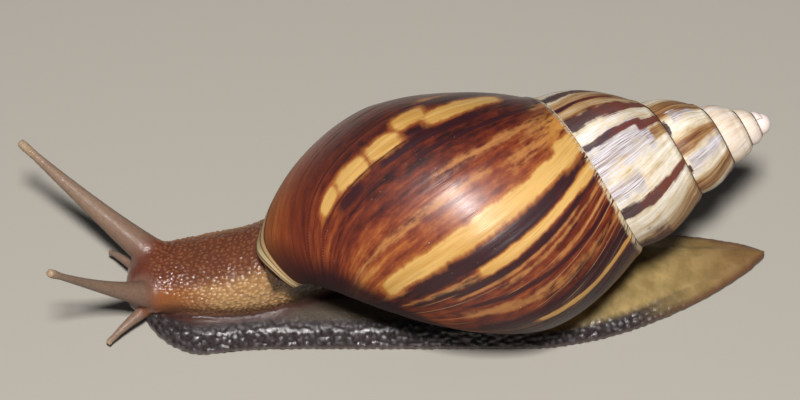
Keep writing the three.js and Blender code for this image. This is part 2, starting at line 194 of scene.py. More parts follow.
def vector(tree, x, y, z):
    node = tree.nodes.new("ShaderNodeCombineXYZ")
    for socket, number in zip(node.inputs, (x, y, z)):
        if isinstance(number, Term):
            tree.links.new(number.socket, socket)
        else:
            socket.default_value = number
    return node.outputs[0]


def cloud(tree, x, y, z, detail=2.0, roughness=0.5):
    """Soft noise of unit grain over three numbers, from about 0.2 to 0.8."""
    node = tree.nodes.new("ShaderNodeTexNoise")
    tree.links.new(vector(tree, x, y, z), node.inputs["Vector"])
    node.inputs["Scale"].default_value = 1.0
    node.inputs["Detail"].default_value = detail
    node.inputs["Roughness"].default_value = roughness
    return Term(tree, node.outputs[0])


def growth_turn(t, s):
    """The turn at which the shell's growth line through a place meets the suture."""
    turn = t
    for _ in range(4):
        sweep = 0.072 * clamped((-0.25 - turn) / 0.16) * s ** 4
        hook = s ** (14 + 46 * clamped((turn + 0.26) / 0.26) ** 3)
        turn = t + lip_curve(s) + sweep + LIP_HOOK * hook
    return turn


def growth_length(size, turn):
    """The way along the belly up to a turn, in millimetres."""
    radius = size["Belly radius"]
    grown = LATE_RADIUS_GROWTH ** most(turn, -1.0) - 1 / LATE_RADIUS_GROWTH
    late = radius / math.log(LATE_RADIUS_GROWTH) * grown
    first = (radius / LATE_RADIUS_GROWTH - TIP_RADIUS) / math.log(RADIUS_GROWTH)
    early = first * (RADIUS_GROWTH ** (least(turn, -1.0) + 1) - 1)
    return math.tau * (late + early)


def streaks(turn, share, rows):
    """1 along the middle of each streak and 0 at its edges. A row holds the streak's turn, half
    width and lean in turns, and the shares of the whorl's height at which it starts and ends."""
    field = None
    for place, half, lean, start, end in rows:
        across = (turn - place - share * lean) / half
        cap = min(0.06, (end - start) / 2)
        past = most(start + cap - share, share - (end - cap)) / cap
        streak = 1 - (across ** 4 + most(past, 0.0) ** 4) ** 0.25
        field = streak if field is None else most(field, streak)
    return field


# Gold, tan and near-black streaks of the last whorl, as the animal laid them down.
GOLD_STREAKS = (
    (-0.3855, 0.0165, 0.0, -0.2, 0.80), (-0.382, 0.026, 0.0, -0.2, 0.11),
    (-0.4310, 0.0082, 0.0, -0.2, 0.50), (-0.433, 0.012, 0.0, -0.2, 0.09),
    (-0.2270, 0.0150, -0.02, 0.13, 0.42), (-0.2020, 0.0150, -0.04, 0.38, 0.52),
    (-0.2540, 0.0165, 0.03, 0.49, 0.64), (-0.2500, 0.0165, 0.02, 0.62, 0.765),
    (-0.2330, 0.0135, 0.0, 0.74, 0.84), (-0.590, 0.0065, 0.10, -0.2, 0.40),
    (-0.700, 0.014, 0.0, -0.2, 0.70), (-0.780, 0.009, 0.0, 0.05, 0.55),
    (-0.105, 0.010, 0.0, 0.10, 0.44), (-0.098, 0.010, 0.0, 0.47, 0.66),
    (-0.890, 0.013, 0.0, -0.2, 0.60),
)
TAN_STREAKS = (
    (-0.528, 0.009, 0.07, -0.2, 0.62), (-0.432, 0.005, 0.0, 0.3, 0.80), (-0.462, 0.004, 0.0, 0.0, 0.45),
    (-0.480, 0.004, 0.0, -0.2, 0.30), (-0.190, 0.008, 0.0, 0.25, 0.40), (-0.325, 0.010, 0.0, -0.1, 0.18),
    (-0.310, 0.007, 0.0, 0.05, 0.50), (-0.345, 0.012, 0.0, -0.2, 0.26), (-0.400, 0.008, 0.0, 0.70, 0.88),
    (-0.280, 0.009, 0.0, -0.2, 0.10), (-0.335, 0.006, 0.0, 0.30, 0.90), (-0.452, 0.003, 0.0, 0.1, 0.60),
)
DARK_STREAKS = (
    (-0.4120, 0.0130, 0.0, 0.03, 0.74), (-0.4455, 0.0055, 0.0, -0.2, 0.62),
    (-0.5600, 0.0210, 0.05, -0.2, 0.60), (-0.625, 0.026, 0.05, -0.2, 0.75),
    (-0.2480, 0.0125, 0.0, 0.37, 0.49), (-0.2580, 0.0080, 0.0, 0.22, 0.62),
    (-0.2600, 0.0100, 0.0, 0.66, 0.80), (-0.2780, 0.0045, 0.0, 0.02, 0.50),
    (-0.2030, 0.0090, 0.0, -0.2, 0.40), (-0.5000, 0.0050, 0.05, -0.2, 0.60),
    (-0.725, 0.014, 0.0, -0.2, 0.70), (-0.800, 0.013, 0.0, -0.2, 0.75),
    (-0.125, 0.010, 0.0, 0.00, 0.60), (-0.915, 0.014, 0.0, -0.2, 0.60),
)
# How light the ground is at each turn, and the colours that this lightness stands for.
GROUND_TONES = (
    (-1.00, 0.40), (-0.93, 0.22), (-0.86, 0.48), (-0.80, 0.20), (-0.74, 0.46), (-0.67, 0.30),
    (-0.62, 0.16), (-0.57, 0.20), (-0.53, 0.34), (-0.48, 0.43), (-0.45, 0.28), (-0.41, 0.15),
    (-0.375, 0.47), (-0.345, 0.52), (-0.315, 0.42), (-0.285, 0.26), (-0.25, 0.22), (-0.22, 0.30),
    (-0.19, 0.22), (-0.15, 0.30), (-0.115, 0.46), (-0.06, 0.50), (-0.02, 0.46),
)
GROUND_COLOURS = (
    (0.06, (0.018, 0.004, 0.004)), (0.20, (0.064, 0.009, 0.005)), (0.36, (0.124, 0.02, 0.007)),
    (0.52, (0.208, 0.046, 0.012)), (0.68, (0.312, 0.1, 0.022)), (0.88, (0.448, 0.208, 0.064)),
)
CREAM_COLOURS = (
    (0.16, (0.112, 0.039, 0.017)), (0.34, (0.284, 0.155, 0.065)), (0.50, (0.43, 0.33, 0.20)),
    (0.66, (0.58, 0.50, 0.38)), (0.86, (0.69, 0.65, 0.58)),
)
REST_LINES = ((-0.200, 0.0022), (-0.250, 0.0022), (-0.155, 0.0015), (-0.100, 0.0015))

# Bands along the lip, from the widest in: where each one fades out and in, in millimetres from
# the edge, and its colour. They're half as wide along most of the lip, and widen near its foot.
FAR_FROM_LIP = 99.0
LIP_NARROW = 0.5
LIP_WIDENING = 1.35
LIP_BANDS = (
    (6.0, 5.3, (0.10, 0.028, 0.012)), (5.2, 4.6, (0.46, 0.31, 0.14)),
    (3.5, 3.1, (0.17, 0.085, 0.040)), (2.9, 2.4, (0.52, 0.41, 0.23)),
    (0.70, 0.45, (0.10, 0.045, 0.02)),
)


def linked(name, data):
    """A new object of a mesh, light or camera, at the origin."""
    piece = bpy.data.objects.new(name, data)
    bpy.context.collection.objects.link(piece)
    return piece


def evaluated(piece, name):
    """The piece's mesh with its modifiers applied."""
    graph = bpy.context.evaluated_depsgraph_get()
    mesh = bpy.data.meshes.new_from_object(piece.evaluated_get(graph), depsgraph=graph)
    mesh.name = name
    return mesh


def shade_smoothly(mesh):
    mesh.polygons.foreach_set("use_smooth", [True] * len(mesh.polygons))


class Growth:
    """A geometry node tree with named sizes. It makes a piece, or works on one's mesh."""

    def __init__(self, name, sizes, on_mesh=False):
        self.tree = bpy.data.node_groups.new(name, "GeometryNodeTree")
        self.tree.is_modifier = True
        face = self.tree.interface
        if on_mesh:
            face.new_socket("Geometry", in_out="INPUT", socket_type="NodeSocketGeometry")
        face.new_socket("Geometry", in_out="OUTPUT", socket_type="NodeSocketGeometry")
        self.values = dict(sizes)
        self.identifiers = {}
        for label, value in sizes.items():
            kind = "NodeSocketInt" if isinstance(value, int) else "NodeSocketFloat"
            made = face.new_socket(label, in_out="INPUT", socket_type=kind)
            self.identifiers[label] = made.identifier
        self.entry = self.tree.nodes.new("NodeGroupInput")
        self.size = {label: Term(self.tree, self.entry.outputs[label]) for label in sizes}
        self.sheets = []

    def add(self, kind, **inputs):
        node = self.tree.nodes.new(kind)
        for label, value in inputs.items():
            socket = node.inputs[label.replace("_", " ")]
            if isinstance(value, Term):
                self.tree.links.new(value.socket, socket)
            elif isinstance(value, bpy.types.NodeSocket):
                self.tree.links.new(value, socket)
            else:
                socket.default_value = value
        return node

    def grid(self, columns, rows):
        """A sheet of a shell, and the shares across and down it."""
        node = self.add("GeometryNodeMeshGrid", Size_X=1.0, Size_Y=1.0)
        self.tree.links.new(columns.socket, node.inputs["Vertices X"])
        self.tree.links.new(rows.socket, node.inputs["Vertices Y"])
        position = self.add("GeometryNodeInputPosition")
        place = self.add("ShaderNodeSeparateXYZ", Vector=position.outputs[0])
        across, down = (Term(self.tree, place.outputs[k]) + 0.5 for k in (0, 1))
        return node.outputs["Mesh"], across, down

    def store(self, mesh, **values):
        """Stores each value on the points."""
        for name, value in values.items():
            node = self.add("GeometryNodeStoreNamedAttribute", Geometry=mesh, Name=name)
            node.data_type = "FLOAT"
            node.domain = "POINT"
            self.tree.links.new(value.socket, node.inputs["Value"])
            mesh = node.outputs["Geometry"]
        return mesh

    def keep(self, mesh, place, **values):
        """Stores each value on the sheet's points, then moves them to their place."""
        mesh = self.store(mesh, **values)
        place = vector(self.tree, *place)
        moved = self.add("GeometryNodeSetPosition", Geometry=mesh, Position=place)
        self.sheets.append(moved.outputs["Geometry"])

    def close(self, geometry, material):
        """Ends the tree in plain geometry that wears the material."""
        real = self.add("GeometryNodeRealizeInstances", Geometry=geometry)
        dressed = self.add("GeometryNodeSetMaterial", Geometry=real.outputs[0], Material=material)
        leave = self.tree.nodes.new("NodeGroupOutput")
        self.tree.links.new(dressed.outputs[0], leave.inputs[0])

    def applied(self, piece, name):
        """Evaluates the tree on a piece, and returns the result as a plain mesh."""
        modifier = piece.modifiers.new(self.tree.name, "NODES")
        modifier.node_group = self.tree
        for label, identifier in self.identifiers.items():
            modifier[identifier] = self.values[label]
        mesh = evaluated(piece, name)
        piece.modifiers.clear()
        bpy.data.node_groups.remove(self.tree)
        return mesh

    def finish(self, name, material):
        """Joins the sheets, and returns the tree's result as a plain mesh object."""
        join = self.add("GeometryNodeJoinGeometry")
        for sheet in self.sheets:
            self.tree.links.new(sheet, join.inputs[0])
        self.close(join.outputs[0], material)
        seed = linked(name + ".growth", bpy.data.meshes.new(name + ".growth"))
        mesh = self.applied(seed, name)
        bpy.data.objects.remove(seed)
        shade_smoothly(mesh)
        return linked(name, mesh)


def growth_relief(tree, length, height, share):
    """Growth ridges and slow swells of the shell's skin, in millimetres."""
    ridges = cloud(tree, length * 1.1, height * 0.04, 3.1, 3.0, 0.6) - 0.5
    swells = cloud(tree, length * 0.17, height * 0.05, 7.7, 1.0) - 0.5
    return ridges * 0.16 + swells * 0.34


def rest_groove(turn, share):
    """Depth of the fine grooves where growth paused, strongest below the belly."""
    groove = None
    for place, half in REST_LINES:
        line = clamped(1 - size_of(turn - place) / half)
        groove = line if groove is None else most(groove, line)
    return groove * smooth(0.25, 0.6, share) * 0.13


def suture_shape(distance, beads):
    """The groove and the low beaded shoulder along a whorl's upper edge, in millimetres."""
    groove = clamped(1 - distance / 0.35) ** 2
    shoulder = clamped(1 - size_of(distance - 0.75) / 0.6)
    return shoulder * (beads * 0.34 + 0.02) - groove * 0.22


def paint_values(size, t, share, depth, whole=None):
    """The growth line, length and height that the finish reads at a place on the shell. On the
    spire, whole is the share of the whorl's full height, with the part that the next one hides."""
    turn = growth_turn(t, share if whole is None else whole)
    return {
        "turn": turn,
        "length": growth_length(size, turn),
        "height": depth - suture_depth(size, t),
        "share": share,
    }


def new_finish(name):
    """A new material, its tree and its shader."""
    material = bpy.data.materials.new(name)
    material.use_nodes = True
    return material, material.node_tree, material.node_tree.nodes["Principled BSDF"]


def stored(tree, label):
    """A value that was stored on the piece's points."""
    node = tree.nodes.new("ShaderNodeAttribute")
    node.attribute_name = label
    return Term(tree, node.outputs["Fac"])


def mixed(factor, first, second):
    """The first colour where the factor is 0, and the second where it is 1."""
    tree = factor.tree
    node = tree.nodes.new("ShaderNodeMix")
    node.data_type = "RGBA"
    tree.links.new(factor.socket, node.inputs["Factor"])
    for socket, colour in ((node.inputs["A"], first), (node.inputs["B"], second)):
        if isinstance(colour, bpy.types.NodeSocket):
            tree.links.new(colour, socket)
        else:
            socket.default_value = (*colour, 1)
    return node.outputs["Result"]


def ramped(factor, stops):
    """A colour ramp through the given places and colours."""
    node = factor.tree.nodes.new("ShaderNodeValToRGB")
    factor.tree.links.new(factor.socket, node.inputs["Fac"])
    ramp = node.color_ramp
    while len(ramp.elements) < len(stops):
        ramp.elements.new(0.5)
    for element, (place, colour) in zip(ramp.elements, stops):
        element.position = place
        element.color = (*colour, 1)
    return node.outputs["Color"]


def bumped(shader, height, distance, strength):
    """Lays fine relief on a shader, and returns its normal."""
    tree = height.tree
    bump = tree.nodes.new("ShaderNodeBump")
    bump.inputs["Distance"].default_value = distance
    bump.inputs["Strength"].default_value = strength
    tree.links.new(height.socket, bump.inputs["Height"])
    tree.links.new(bump.outputs["Normal"], shader.inputs["Normal"])
    return bump.outputs["Normal"]


def shell_finish(name):
    """Glossy red-brown skin with gold and dark streaks, worn to cream on the spire."""
    material, tree, shader = new_finish(name)

    def read(label):
        return stored(tree, label)

    turn, length, height, share = (read(n) for n in ("turn", "length", "height", "share"))
    broad = cloud(tree, length * 0.28, height * 0.03, 1.3, 2.0)
    middle = cloud(tree, length * 0.85, height * 0.07, 5.2, 3.0, 0.6)
    fine = cloud(tree, length * 3.4, height * 0.16, 9.4, 3.0, 0.6)
    hair = cloud(tree, length * 10.0, height * 0.20, 2.4, 2.0, 0.6)
    mottle = cloud(tree, length * 0.75, height * 0.40, 4.1, 4.0, 0.65)
    jag = cloud(tree, length * 0.22, height * 0.42, 6.6, 3.0, 0.55)
    tooth = cloud(tree, length * 0.5, height * 1.4, 2.2, 2.0, 0.5)
    ragged = (jag - 0.5) * 2.0 + (mottle - 0.5) * 0.5 + (tooth - 0.5) * 0.45 + (fine - 0.5) * 0.2

    # Ground colour of the last whorl, from maroon to orange-brown.
    low = smooth(0.62, 0.86, share)
    front = smooth(-0.17, -0.08, turn)
    tones = [(place + 1, (shade, shade, shade)) for place, shade in GROUND_TONES]
    age = Term(tree, ramped(turn + 1, tones))
    calm = 1 - smooth(-0.23, -0.16, turn) * 0.85
    tone = age - 0.05 + ((broad - 0.5) * 0.35 + (middle - 0.5) * 0.65 + (fine - 0.5) * 0.22) * calm
    tone = tone + (mottle - 0.5) * (calm * 0.45 + 0.30) + (hair - 0.5) * 0.10
    tone = tone + low * 0.14 + front * 0.04
    brown = ramped(tone, GROUND_COLOURS)
    tan = smooth(-0.2, 0.7, read("tan") + ragged * 0.8)
    tan = tan * smooth(0.35, 0.55, middle * 0.5 + mottle * 0.5)
    brown = mixed(tan * 0.75, brown, (0.377, 0.164, 0.049))
    dark = smooth(0.0, 0.55, read("dark") + ragged * 0.5)
    brown = mixed(dark * 0.9, brown, (0.022, 0.004, 0.007))
    golden_top = smooth(0.15, 0.02, share) * smooth(-0.41, -0.38, turn)
    golden_top = golden_top * smooth(-0.28, -0.34, turn) * smooth(0.35, 0.55, mottle)
    brown = mixed(golden_top * 0.85, brown, (0.459, 0.205, 0.041))
    gold_field = read("gold") + ragged * 0.36
    brown = mixed(smooth(-0.22, 0.15, gold_field) * 0.7, brown, (0.328, 0.107, 0.021))
    gold_colour = mixed(smooth(0.35, 0.65, middle), (0.426, 0.226, 0.053), (0.541, 0.328, 0.102))
    brown = mixed(smooth(0.06, 0.36, gold_field), brown, gold_colour)
    wisps = smooth(0.60, 0.70, cloud(tree, length * 2.4, height * 0.06, 12.5, 2.0))
    brown = mixed(wisps * smooth(-0.42, -0.46, turn) * 0.5, brown, (0.426, 0.262, 0.123))

    # The older whorls are worn to cream, with maroon streaks and bluish chalky patches.
    stroke = (fine - 0.5) * 1.3 + (hair - 0.5) * 1.1 + (mottle - 0.5) * 0.9
    cream_tone = 0.68 + (middle - 0.5) * 0.9 + (mottle - 0.5) * 0.6 + (fine - 0.5) * 0.35
    cream_tone = cream_tone - read("olive") * (mottle * 0.5 + 0.14)
    cream = ramped(cream_tone, CREAM_COLOURS)
    cream = mixed(smooth(-2.8, -3.4, turn) * 0.45, cream, (0.58, 0.46, 0.39))
    scratch = smooth(0.40, 0.57, hair * 0.6 + fine * 0.4)
    scratched = mixed(scratch, (0.105, 0.070, 0.080), (0.55, 0.52, 0.57))
    worn = smooth(-0.1, 0.7, read("worn") + (jag - 0.5) * 1.6 + stroke * 1.5)
    cream = mixed(worn * 0.85, cream, scratched)
    lower = smooth(0.35, 0.9, share + (mottle - 0.5))
    maroon_colour = mixed(lower, (0.102, 0.013, 0.009), (0.029, 0.008, 0.015))
    maroon = smooth(0.0, 0.45, read("maroon") + (jag - 0.5) * 1.2 + stroke * 0.65)
    cream = mixed(maroon * 0.94, cream, maroon_colour)
    old = smooth(-0.98, -1.16, turn)
    colour = mixed(old, brown, cream)
    colour = mixed(smooth(-4.2, -5.0, turn), colour, (0.672, 0.574, 0.541))

    # Thin brown suture lines on the spire, and a cream beaded edge on the last whorl.
    bead = cloud(tree, length * 1.9, height * 0.6, 8.8, 2.0)
    edge = smooth(0.34, 0.14, height + (bead - 0.5) * 0.5)
    colour = mixed(edge * old * 0.8, colour, (0.18, 0.094, 0.045))
    pale_edge = smooth(0.95, 0.50, height + (bead - 0.5) * 1.8) * (1 - old)
    colour = mixed(pale_edge * smooth(0.40, 0.55, bead), colour, (0.574, 0.459, 0.295))

    # Chips, hair-thin dark growth threads, and the pale lip with its brown borders.
    chips = smooth(0.70, 0.76, cloud(tree, length * 1.5, height * 1.5, 3.3, 3.0, 0.7))
    colour = mixed(chips * 0.7, colour, (0.492, 0.369, 0.262))
    thread = smooth(0.60, 0.70, hair) * smooth(0.45, 0.6, middle) * (calm * 0.7 + 0.3)
    colour = mixed(thread * 0.45, colour, (0.041, 0.01, 0.007))
    colour = mixed(smooth(0.2, 0.8, read("rest")), colour, (0.029, 0.007, 0.005))
    # Darkens the last whorl's underside towards its base. This is partly the base's own darker colour
    # and partly painted shade where the underside turns away from the light.
    underside_shade = share - 0.97 + clamped((-0.1 - turn) / 0.6) ** 1.55 * 0.48
    newer = (1 - old) * smooth(-0.94, -0.74, turn)
    colour = mixed(smooth(-0.03, 0.02, underside_shade) * newer * 0.92, colour, (0.014, 0.003, 0.005))
    widened = smooth(0.78, 0.93, share) * LIP_WIDENING + LIP_NARROW
    rim = (read("rim") + (mottle - 0.5) * 1.4) / widened
    for start, end, band in LIP_BANDS:
        colour = mixed(smooth(start, end, rim), colour, band)
    dirt = smooth(0.50, 0.62, cloud(tree, length * 1.2, height * 0.5, 5.5, 3.0, 0.65))
    colour = mixed(dirt * smooth(5.0, 3.5, rim) * 0.45, colour, (0.20, 0.12, 0.065))
    tree.links.new(colour, shader.inputs["Base Color"])

    dull = smooth(-0.30, 0.02, underside_shade) * newer
    roughness = 0.33 + old * 0.12 + worn * old * 0.08 + (fine - 0.5) * 0.16 + dull * 0.45
    tree.links.new(roughness.socket, shader.inputs["Roughness"])
    coat = (1 - dull) * (1 - old) * smooth(-0.54, -0.42, turn)
    tree.links.new(coat.socket, shader.inputs["Coat Weight"])
    shader.inputs["Coat Roughness"].default_value = 0.44
    shader.inputs["IOR"].default_value = 1.27
    bumped(shader, fine * 0.7 + hair * 0.35 + worn * old * hair * 0.6, 0.12 * MM, 0.6)
    return material


shell_skin = shell_finish("shell_skin")


def last_whorl():
    """The last whorl: its outer face, rolled round the lip into its inner face, and the covered
    turn that shows in the mouth."""
    growth = Growth("Last whorl", {
        **SPIRAL, "Columns": 560, "Rows": 140, "Lip wall": LIP_WALL, "Mouth turns": MOUTH_TURNS,
        "Mouth columns": 90, "Mouth rows": 60,
    })
    size = growth.size
    tree = growth.tree
    mesh, across, down = growth.grid(size["Columns"], size["Rows"])
    lip_turns = 0.012
    way = across * (size["Mouth turns"] + (1 + lip_turns)) - 1
    over = clamped(way / lip_turns)
    roll = worked("SINE", over * math.pi) * 0.0026
    turn = least(way, 0.0) - most(way - lip_turns, 0.0) + roll
    inset = size["Lip wall"] * (1 - worked("COSINE", over * math.pi)) * 0.5
    share = worked("SINE", down * (math.pi / 2))
    t = turn - lip_lag(share) * (turn + 1)
    depth = suture_depth(size, t) + (base_depth(size, t) - suture_depth(size, t)) * share
    values = paint_values(size, t, share, depth)
    line = values["turn"]
    outside = 1 - over
    rest = rest_groove(line, share)
    beads = cloud(tree, values["length"] * 1.3, 0.0, 2.2, 1.0)
    relief = growth_relief(tree, values["length"], values["height"], share) - rest
    relief = relief * smooth(0.0, 1.5, values["height"]) * smooth(1.0, 0.93, share)
    relief = (relief + suture_shape(values["height"], beads)) * outside
    radius = most(open_radius(size, t, depth) + relief - inset, 0.02)
    rim = (0.0 - least(turn, 0.0)) * (1 - lip_lag(share)) * 6.283 * belly_radius(size, t)
    growth.keep(
        mesh, on_shell(t, radius, depth), **values,
        gold=streaks(line, share, GOLD_STREAKS), dark=streaks(line, share, DARK_STREAKS),
        tan=streaks(line, share, TAN_STREAKS), rest=rest * 8.0, rim=rim + over * 20.0,
    )
    # The covered turn inside the mouth.
    mesh, across, down = growth.grid(size["Mouth columns"], size["Mouth rows"])
    t = across * 0.53 - 1.53
    start = suture_depth(size, t + 1) - 0.3
    depth = start + (base_depth(size, t) - 0.4 - start) * worked("SINE", down * (math.pi / 2))
    share = (depth - suture_depth(size, t)) / (base_depth(size, t) - suture_depth(size, t))
    values = paint_values(size, t, share, depth)
    radius = most(open_radius(size, t, depth) - 0.04, 0.3)
    plain = share * 0.0
    growth.keep(
        mesh, on_shell(t, radius, depth), **values,
        gold=plain - 1, dark=plain - 1, tan=plain - 1, rest=plain, rim=plain + FAR_FROM_LIP,
    )
    return growth.finish("shell_last_whorl", shell_skin)


def face_outwards(piece):
    """Turns the faces over if they look at the shell's axis."""
    mesh = piece.data
    places = np.empty(len(mesh.polygons) * 3)
    normals = np.empty(len(mesh.polygons) * 3)
    mesh.polygons.foreach_get("center", places)
    mesh.polygons.foreach_get("normal", normals)
    offset = places.reshape(-1, 3) / MM - np.array(SPIRE_TIP)
    axis = np.array(SPIRAL_AXIS)
    away = offset - np.outer(offset @ axis, axis)
    if np.median((away * normals.reshape(-1, 3)).sum(axis=1)) < 0:
        mesh.flip_normals()


last = last_whorl()
face_outwards(last)
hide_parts("shell_body_whorl", "shell_lip")
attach(last, "root")

# ---- Shell: the spire ------------------------------------------------------------------------
# The older, smaller turns, each one held in the suture of the next. Years of weather have taken
# their brown skin, so they're cream, with maroon streaks, and they end in a smooth blunt tip.

TIP_TURN = -5.4
TIP_DOME_RADIUS = 1.55
MAROON_STREAKS = (
    (-1.492, 0.016, 0.020, -0.2, 1.3), (-1.280, 0.020, 0.0, -0.2, 1.3),
    (-1.345, 0.019, 0.0, -0.2, 0.34), (-1.335, 0.009, 0.004, 0.2, 1.3),
    (-1.670, 0.115, 0.03, 0.52, 1.5), (-1.236, 0.006, 0.0, 0.3, 1.3), (-1.190, 0.018, 0.0, -0.2, 1.2),
    (-1.100, 0.020, 0.0, -0.2, 1.2), (-1.750, 0.030, 0.0, -0.2, 1.2), (-1.840, 0.028, 0.0, -0.2, 1.2),
    # The wide streak at turn -2.71, low on the third whorl's near side, is partly maroon colour and
    # partly painted shade.
    (-1.940, 0.020, 0.0, -0.2, 0.7), (-2.090, 0.022, 0.0, 0.2, 1.2), (-2.710, 0.095, 0.0, -0.2, 1.2),
    (-2.470, 0.020, 0.0, 0.93, 1.2), (-2.330, 0.030, 0.0, 0.93, 1.2),
)
WORN_PATCHES = (
    (-1.362, 0.050, 0.0, 0.20, 1.4), (-1.430, 0.026, 0.0, 0.55, 1.4),
    (-2.455, 0.040, 0.0, 0.02, 0.95), (-2.300, 0.025, 0.0, 0.3, 0.8), (-1.800, 0.050, 0.0, 0.3, 1.1),
)
OLIVE_PATCHES = (
    (-1.640, 0.110, 0.0, -0.2, 1.3), (-1.240, 0.040, 0.0, -0.2, 1.3), (-2.250, 0.06, 0.0, -0.2, 1.3),
    (-2.560, 0.050, 0.0, -0.2, 1.3), (-1.378, 0.020, 0.0, -0.2, 0.30), (-2.395, 0.030, 0.0, -0.2, 1.3),
)


def spire_radius(size, t, depth):
    """A spire whorl's curve, which ends at the next whorl's suture."""
    belly = belly_radius(size, t)
    belly_at = belly_depth(size, t)
    rise = clamped((belly_at - depth) / (belly_at - suture_depth(size, t)))
    fall = clamped((depth - belly_at) / (suture_depth(size, t + 1) - belly_at))
    upper = (belly - suture_radius(size, t)) * rise ** 1.8
    return belly - upper - (belly - suture_radius(size, t + 1)) * fall ** 2


def spire():
    """The turns of the spire as one ribbon, and the dome of its tip."""
    growth = Growth("Spire", {
        **SPIRAL, "First turn": TIP_TURN, "Columns": 1500, "Rows": 48,
        "Dome radius": TIP_DOME_RADIUS, "Dome rings": 24, "Dome columns": 48,
    })
    size = growth.size
    tree = growth.tree
    mesh, across, down = growth.grid(size["Columns"], size["Rows"])
    t = size["First turn"] + (-1 - size["First turn"]) * across
    start = suture_depth(size, t)
    depth = start + (suture_depth(size, t + 1) - start) * down
    whole = (depth - start) / (base_depth(size, t) - start)
    values = paint_values(size, t, down, depth, whole)
    line = values["turn"]
    beads = cloud(tree, values["length"] * 1.3, 0.0, 2.2, 1.0)
    small = smooth(-5.2, -2.4, t) * 0.75 + 0.25
    relief = growth_relief(tree, values["length"], values["height"], down)
    relief = relief * smooth(0.0, 1.0, values["height"]) * smooth(1.0, 0.9, down)
    relief = (relief + suture_shape(values["height"], beads)) * small
    radius = spire_radius(size, t, depth) + relief
    plain = down * 0.0
    growth.keep(
        mesh, on_shell(t, radius, depth), **values,
        maroon=streaks(line, down, MAROON_STREAKS), worn=streaks(line, down, WORN_PATCHES),
        olive=clamped(streaks(line, down, OLIVE_PATCHES) * 2.0),
        rim=plain + FAR_FROM_LIP, gold=plain - 1, dark=plain - 1, tan=plain - 1,
    )
    dome = growth.add("GeometryNodeMeshUVSphere", Radius=size["Dome radius"])
    tree.links.new(size["Dome rings"].socket, dome.inputs["Rings"])
    tree.links.new(size["Dome columns"].socket, dome.inputs["Segments"])
    position = growth.add("GeometryNodeInputPosition")
    place = growth.add("ShaderNodeSeparateXYZ", Vector=position.outputs[0])
    middle = SPIRE_TIP + SPIRAL_AXIS * (0.9 * TIP_DOME_RADIUS)
    moved = [(Term(tree, place.outputs[k]) + middle[k]) * MM for k in range(3)]
    zero = moved[0] * 0
    growth.keep(
        dome.outputs["Mesh"], moved,
        turn=zero + TIP_TURN, length=zero, height=zero + 3, share=zero + 0.5, maroon=zero - 1,
        worn=zero - 1, rim=zero + FAR_FROM_LIP, gold=zero - 1, dark=zero - 1, tan=zero - 1,
    )
    return growth.finish("shell_spire", shell_skin)


old_turns = spire()
face_outwards(old_turns)
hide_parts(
    "shell_penultimate_whorl", "shell_third_whorl", "shell_fourth_whorl", "shell_tip",
)
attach(old_turns, "root")

# ---- Flesh: one skin from the mouth to the tail ----------------------------------------------
# Head, neck, mantle, feelers, foot and tail are one wet, muscular skin. Its parts are laid up as
# lofts, fused, and softened, and then the rows of tubercles are raised on it.

FOOT_FRONT = -38.6
TAIL_TIP = 54.6
FOOT_HALF_WIDTH = 11.0
FRONT_ROUNDING = 10.0
TAIL_START = 18.0
TAIL_SWING = 6.6
SOLE_EDGE_HEIGHT = 0.9
CREASE_HEIGHT = 4.6
HEAD_FRONT = -40.2
NOSE_ROUNDING = 5.5
COLUMN_REAR = 17.0
TRUNK_ROUNDING = 12.0
HEAD_SHIFT = -1.7
TRUNK_SHIFT = 6.0
HEAD_HALF_WIDTH = 5.6
NECK_HALF_WIDTH = 6.3
TRUNK_HALF_WIDTH = 7.2
COLUMN_BOTTOM = 1.9
HEAD_TOP = 9.3
NECK_TOP = 15.1
TRUNK_TOP = 21.1
OVAL_POWER = 0.88
SKIN_GRAIN = 0.296  # coarse enough to keep the skin under 200,000 triangles
UPPER_FEELERS = {
    "left": ((-34.4, -4.4, 4.9), (-39.5, -7.4, 9.6), (-48.4, -16.6, 25.4), 2.6, 0.5, 1.7),
    "right": ((-34.6, 0.8, 5.8), (-40.9, 3.6, 10.2), (-55.2, 10.6, 21.8), 2.8, 0.5, 1.05),
}
LOWER_FEELERS = {
    "left": ((-36.4, -5.2, 3.4), (-39.9, -8.4, 2.9), (-42.6, -10.6, 1.3), 1.2, 0.5, 1.7),
    "right": ((-37.6, 0.6, 3.4), (-41.0, 3.4, 3.6), (-43.2, 6.0, 1.9), 1.1, 0.5, 1.7),
}
EYE_RADIUS = 0.55


def foot_centre(x):
    behind = np.maximum((x - TAIL_START - 2) / (TAIL_TIP - TAIL_START - 2), 0)
    return TAIL_SWING * behind ** 1.55 - 1.2 * (1 - smooth(-32, -18, x))


def foot_width(x):
    ahead = np.clip((FOOT_FRONT + FRONT_ROUNDING - x) / FRONT_ROUNDING, 0, 1)
    behind = np.clip((x - TAIL_START) / (TAIL_TIP - TAIL_START), 0, 1)
    front = 0.4 + (FOOT_HALF_WIDTH - 0.4) * (1 - ahead ** 1.75) ** 0.58
    rear = 0.3 + (FOOT_HALF_WIDTH - 0.3) * (1 - behind ** 1.9) ** 0.8
    return np.where(x < 0, front, rear)


def foot_crease(x):
    front = smooth(FOOT_FRONT - 1, FOOT_FRONT + 9, x)
    return 1.9 + (CREASE_HEIGHT - 1.9) * front - 3.2 * smooth(TAIL_START - 6, TAIL_TIP, x)


def foot_top(x):
    rise = 1.4 * smooth(-26, -12, x) - 0.9 * smooth(0, 14, x)
    tail = smooth(TAIL_START + 4, TAIL_TIP, x)
    return foot_crease(x) + (0.5 + rise) * (1 - tail) + 2.2 * tail * (1 - tail) + 0.3


